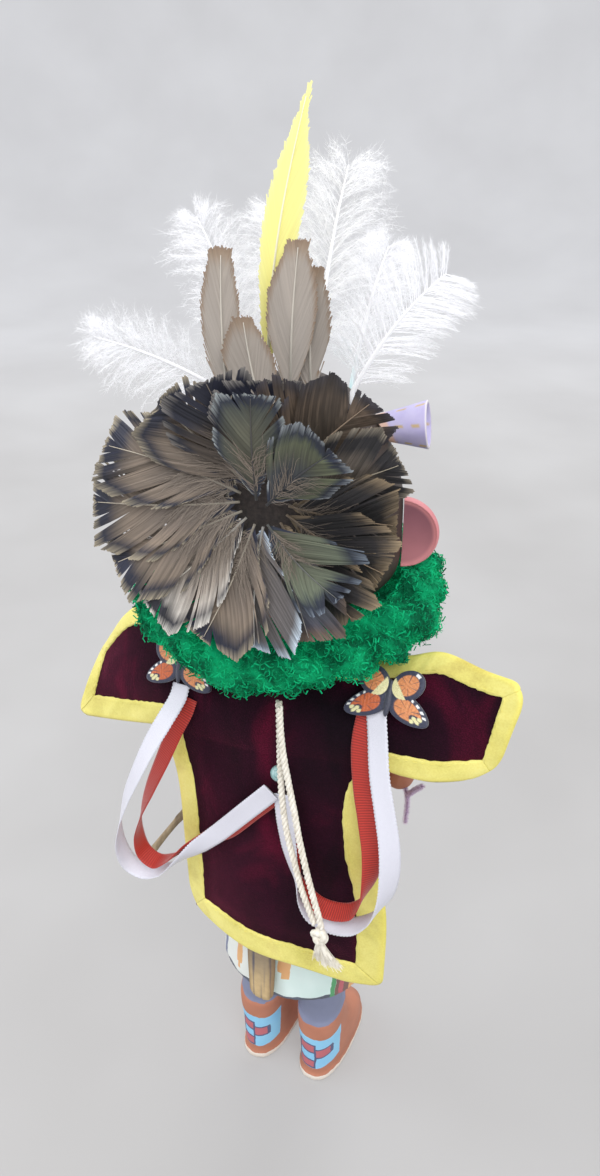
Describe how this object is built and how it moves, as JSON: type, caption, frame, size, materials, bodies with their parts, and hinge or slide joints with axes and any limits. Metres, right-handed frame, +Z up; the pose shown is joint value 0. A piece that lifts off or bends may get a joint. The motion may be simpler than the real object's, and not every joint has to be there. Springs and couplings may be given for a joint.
{
  "type": "kachina doll",
  "caption": "Standing carved and painted doll in a bound velvet cape, with a woolly ruff, a feather rosette at the back of the mask, upright feathers, white plumes and ribbon loops.",
  "frame": {"origin": "on the floor under the middle of the doll's box, ribbons and cords left out", "axes": "+Z up, the doll faces -Y, its right hand is towards -X"},
  "size_m": [0.1796, 0.1146, 0.4001],
  "materials": {
    "painted_wood": "matt paint on carved cottonwood",
    "carved_tail": "brushed tan and brown paint",
    "pink_wood": "matt pink paint",
    "lavender_wood": "matt lavender paint with gilt lines",
    "velvet": "burgundy velvet pile",
    "binding_cotton": "pale yellow cotton",
    "embroidery": "satin stitch on felt",
    "white_satin": "satin",
    "red_grosgrain": "ribbed grosgrain",
    "glazed_bead": "glazed",
    "cotton_cord": "twisted cotton",
    "green_wool": "loose dyed wool",
    "backing_felt": "pressed felt",
    "brown_feather": "natural feather with a dull sheen",
    "grey_feather": "natural feather",
    "yellow_feather": "dyed feather",
    "white_down": "soft down",
    "dry_stick": "bare dry wood",
    "chenille": "tufted pile"
  },
  "bodies": {
    "root": {"figure": "painted_wood", "fox_tail": "carved_tail", "ear_right": "pink_wood", "ear_left": "pink_wood", "blossom": "lavender_wood", "cape": "velvet", "cape_binding": "binding_cotton", "butterfly_left": "embroidery", "butterfly_right": "embroidery", "white_ribbon_left": "white_satin", "red_ribbon_left": "red_grosgrain", "white_ribbon_right": "white_satin", "red_ribbon_right": "red_grosgrain", "bead": "glazed_bead", "tie_cord_left": "cotton_cord", "tie_cord_right": "cotton_cord", "cord_knot": "cotton_cord", "ruff": "green_wool", "rosette_backing": "backing_felt", "stick": "dry_stick", "chenille_sprig": "chenille", "rosette_feather_01": "brown_feather", "rosette_feather_02": "brown_feather", "rosette_feather_03": "brown_feather", "rosette_feather_04": "brown_feather", "rosette_feather_05": "brown_feather", "rosette_feather_06": "brown_feather", "rosette_feather_07": "brown_feather", "rosette_feather_08": "brown_feather", "rosette_feather_09": "brown_feather", "rosette_feather_10": "brown_feather", "rosette_feather_11": "brown_feather", "rosette_feather_12": "brown_feather", "rosette_feather_13": "brown_feather", "rosette_feather_14": "brown_feather", "rosette_feather_15": "brown_feather", "rosette_feather_16": "brown_feather", "rosette_feather_17": "brown_feather", "rosette_feather_18": "brown_feather", "rosette_feather_19": "brown_feather", "yellow_feather": "yellow_feather", "grey_feather_1": "grey_feather", "grey_feather_2": "grey_feather", "grey_feather_3": "grey_feather", "grey_feather_4": "grey_feather", "white_plume_1": "white_down", "white_plume_2": "white_down", "white_plume_3": "white_down", "white_plume_4": "white_down", "white_plume_5": "white_down", "white_plume_6": "white_down"}
  },
  "joints": []
}
